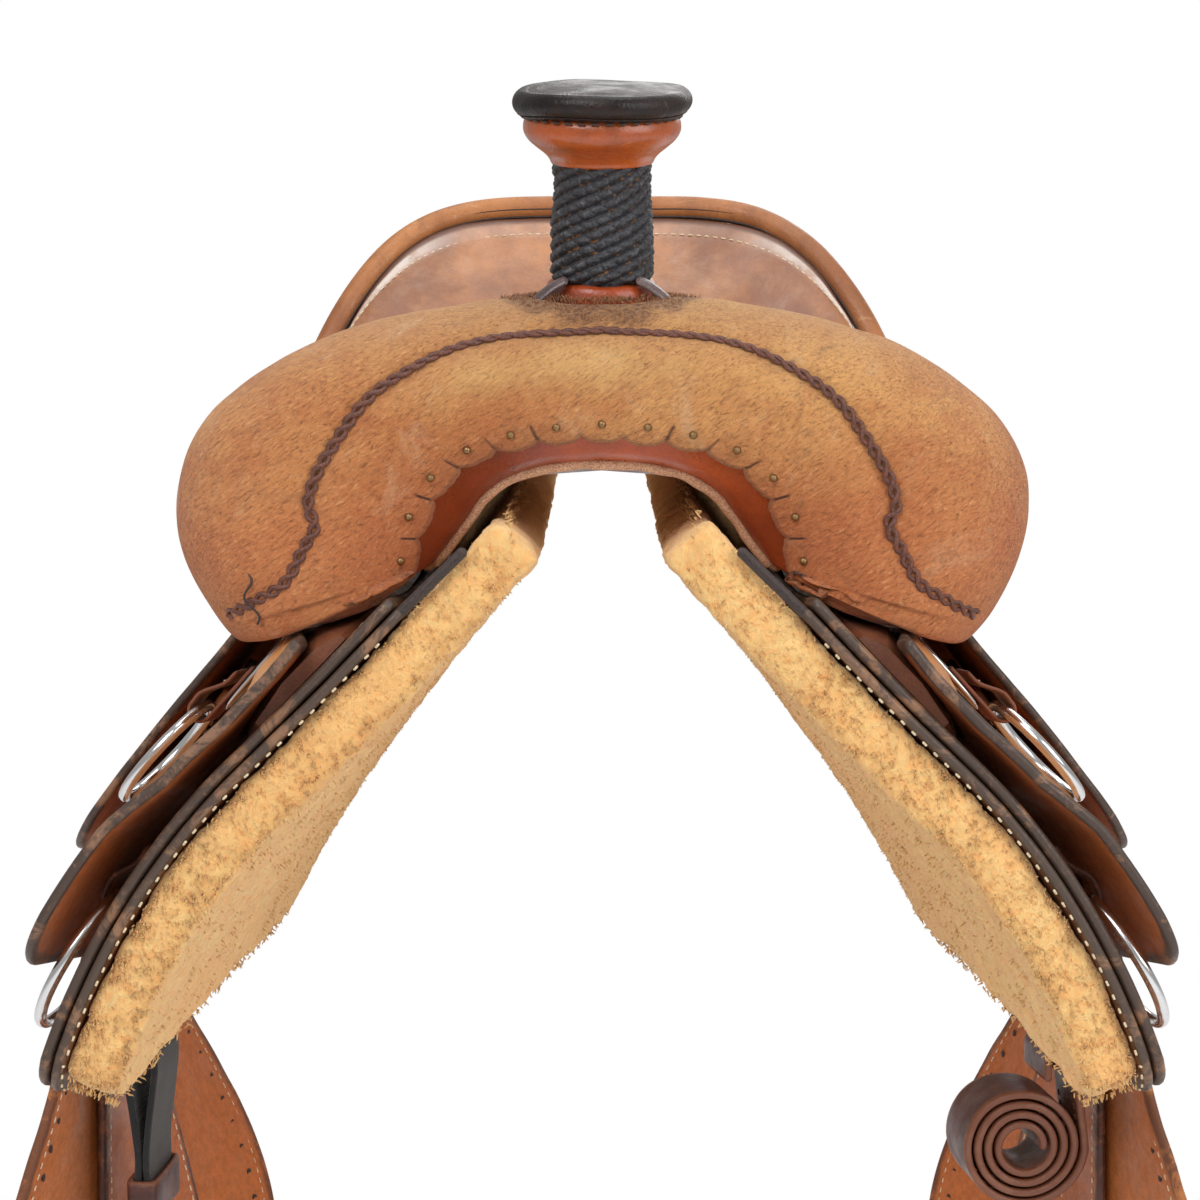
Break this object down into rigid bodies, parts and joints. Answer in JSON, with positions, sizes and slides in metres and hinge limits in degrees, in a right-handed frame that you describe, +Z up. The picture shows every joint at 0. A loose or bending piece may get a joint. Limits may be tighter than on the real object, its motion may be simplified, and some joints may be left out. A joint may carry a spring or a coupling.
{
  "type": "ranch saddle",
  "caption": "Western ranch saddle with a rope-wrapped horn, roughout swell, high cantle, fleece-lined skirts, rigging rings, fenders and hanging stirrups.",
  "frame": {"origin": "middle of the channel between the fleece linings, level with their inner lower edges: the place where the saddle sits on a rack or a horse's spine", "axes": "+Z up, -Y towards the horse's head (the horn end), +X towards the near side as seen in the picture's right half"},
  "size_m": [0.544, 0.665, 0.9029],
  "materials": {
    "cast_metal": "as cast",
    "dark_lace": "braided, dark brown",
    "dark_leather": "smooth, near black, worn edges",
    "edge_leather": "smooth, creased",
    "fender": "oiled, stitched and punched",
    "fleece": "golden wool shearling",
    "latigo": "burgundy brown, waxed",
    "polished_steel": "polished stainless",
    "roughout": "rough side out, napped",
    "rust_leather": "smooth, waxed, rust red",
    "seat_leather": "smooth, worn, mottled",
    "skirt_edge": "oiled with burnished dark edges",
    "skirting": "oiled, smooth",
    "stirrup_wood": "varnished bent wood",
    "strainer": "firm leather groundwork",
    "strap": "oiled harness leather",
    "webbing": "black woven web",
    "wood": "bare laminated wood",
    "wrap_cord": "laid cord, charcoal"
  },
  "bodies": {
    "saddle": {"cantle_back": "seat_leather", "cantle_binding": "edge_leather", "cantle_board": "wood", "fork": "wood", "ground_seat": "strainer", "gullet_lining": "rust_leather", "horn_cap": "dark_leather", "horn_collar": "rust_leather", "horn_neck_leather": "rust_leather", "horn_post": "cast_metal", "horn_wrap": "wrap_cord", "near_bar": "wood", "near_breast_strap": "strap", "near_fleece": "fleece", "near_front_jockey": "skirting", "near_front_rigging_strap": "strap", "near_rear_jockey": "skirting", "near_rear_rigging_strap": "strap", "near_seat_jockey": "skirting", "near_skirt": "skirting", "near_tie_plate": "polished_steel", "near_tie_strap": "rust_leather", "near_underskirt": "skirt_edge", "off_bar": "wood", "off_breast_strap": "strap", "off_fleece": "fleece", "off_front_jockey": "skirting", "off_front_rigging_strap": "strap", "off_rear_jockey": "skirting", "off_rear_rigging_strap": "strap", "off_seat_jockey": "skirting", "off_skirt": "skirting", "off_tie_plate": "polished_steel", "off_tie_strap": "rust_leather", "off_underskirt": "skirt_edge", "seat": "seat_leather", "swell_cover": "roughout", "swell_lacing": "dark_lace"},
    "near_front_rigging_ring": {"near_front_rigging_ring": "polished_steel"},
    "near_rear_rigging_ring": {"near_rear_rigging_ring": "polished_steel"},
    "near_breast_ring": {"near_breast_ring": "polished_steel"},
    "near_tie_ring": {"near_tie_ring": "polished_steel"},
    "near_fender_assembly": {"near_stirrup_leather": "strap", "near_fender": "fender", "near_hobble_strap": "strap"},
    "near_stirrup_assembly": {"near_stirrup": "stirrup_wood", "near_stirrup_bolt": "polished_steel"},
    "off_front_rigging_ring": {"off_front_rigging_ring": "polished_steel"},
    "off_rear_rigging_ring": {"off_rear_rigging_ring": "polished_steel"},
    "off_breast_ring": {"off_breast_ring": "polished_steel"},
    "off_tie_ring": {"off_tie_ring": "polished_steel"},
    "off_fender_assembly": {"off_stirrup_leather": "strap", "off_fender": "fender", "off_hobble_strap": "strap"},
    "off_stirrup_assembly": {"off_stirrup": "stirrup_wood", "off_stirrup_bolt": "polished_steel"},
    "near_latigo_roll": {"near_latigo": "latigo"},
    "off_billet_assembly": {"off_billet": "webbing", "off_billet_keeper": "webbing"}
  },
  "joints": [
    {"name": "near_front_ring_swing", "type": "hinge", "parent": "saddle", "child": "near_front_rigging_ring", "pos_m": [0.206, -0.11114, -0.17598], "axis": [0.1143, -0.9918, 0.0569], "range_deg": [0, 6]},
    {"name": "near_rear_ring_swing", "type": "hinge", "parent": "saddle", "child": "near_rear_rigging_ring", "pos_m": [0.21191, 0.17915, -0.16434], "axis": [-0.2048, -0.9719, -0.1162], "range_deg": [0, 8]},
    {"name": "near_breast_ring_swing", "type": "hinge", "parent": "saddle", "child": "near_breast_ring", "pos_m": [0.19863, -0.21011, -0.13849], "axis": [0.1623, -0.982, 0.0963], "range_deg": [0, 3]},
    {"name": "near_tie_ring_swing", "type": "hinge", "parent": "saddle", "child": "near_tie_ring", "pos_m": [0.16687, -0.18638, -0.06514], "axis": [0.112, -0.9887, 0.1], "range_deg": [0, 45]},
    {"name": "near_fender_swing", "type": "hinge", "parent": "saddle", "child": "near_fender_assembly", "pos_m": [0.1434, -0.05643, -0.05127], "axis": [0.8047, 0.0535, 0.5913], "range_deg": [-8, 18]},
    {"name": "near_stirrup_swing", "type": "hinge", "parent": "near_fender_assembly", "child": "near_stirrup_assembly", "pos_m": [0.19746, -0.06499, -0.54501], "axis": [-0.6691, 0.7431, 0], "range_deg": [-30, 30]},
    {"name": "off_front_ring_swing", "type": "hinge", "parent": "saddle", "child": "off_front_rigging_ring", "pos_m": [-0.206, -0.11114, -0.17598], "axis": [0.1143, 0.9918, -0.0569], "range_deg": [0, 6]},
    {"name": "off_rear_ring_swing", "type": "hinge", "parent": "saddle", "child": "off_rear_rigging_ring", "pos_m": [-0.21191, 0.17915, -0.16434], "axis": [-0.2048, 0.9719, 0.1162], "range_deg": [0, 8]},
    {"name": "off_breast_ring_swing", "type": "hinge", "parent": "saddle", "child": "off_breast_ring", "pos_m": [-0.19863, -0.21011, -0.13849], "axis": [0.1623, 0.982, -0.0963], "range_deg": [0, 3]},
    {"name": "off_tie_ring_swing", "type": "hinge", "parent": "saddle", "child": "off_tie_ring", "pos_m": [-0.16687, -0.18638, -0.06514], "axis": [0.112, 0.9887, -0.1], "range_deg": [0, 45]},
    {"name": "off_fender_swing", "type": "hinge", "parent": "saddle", "child": "off_fender_assembly", "pos_m": [-0.1434, -0.05643, -0.05127], "axis": [0.8047, -0.0535, -0.5913], "range_deg": [-8, 18]},
    {"name": "off_stirrup_swing", "type": "hinge", "parent": "off_fender_assembly", "child": "off_stirrup_assembly", "pos_m": [-0.19746, -0.06499, -0.54501], "axis": [0.6691, 0.7431, 0], "range_deg": [-30, 30]},
    {"name": "near_latigo_swing", "type": "hinge", "parent": "near_front_rigging_ring", "child": "near_latigo_roll", "pos_m": [0.20639, -0.11451, -0.23542], "axis": [0.1143, -0.9918, 0.0569], "range_deg": [0, 5]},
    {"name": "off_billet_swing", "type": "hinge", "parent": "off_front_rigging_ring", "child": "off_billet_assembly", "pos_m": [-0.20639, -0.11448, -0.23504], "axis": [0.1143, 0.9918, -0.0569], "range_deg": [0, 5]}
  ]
}
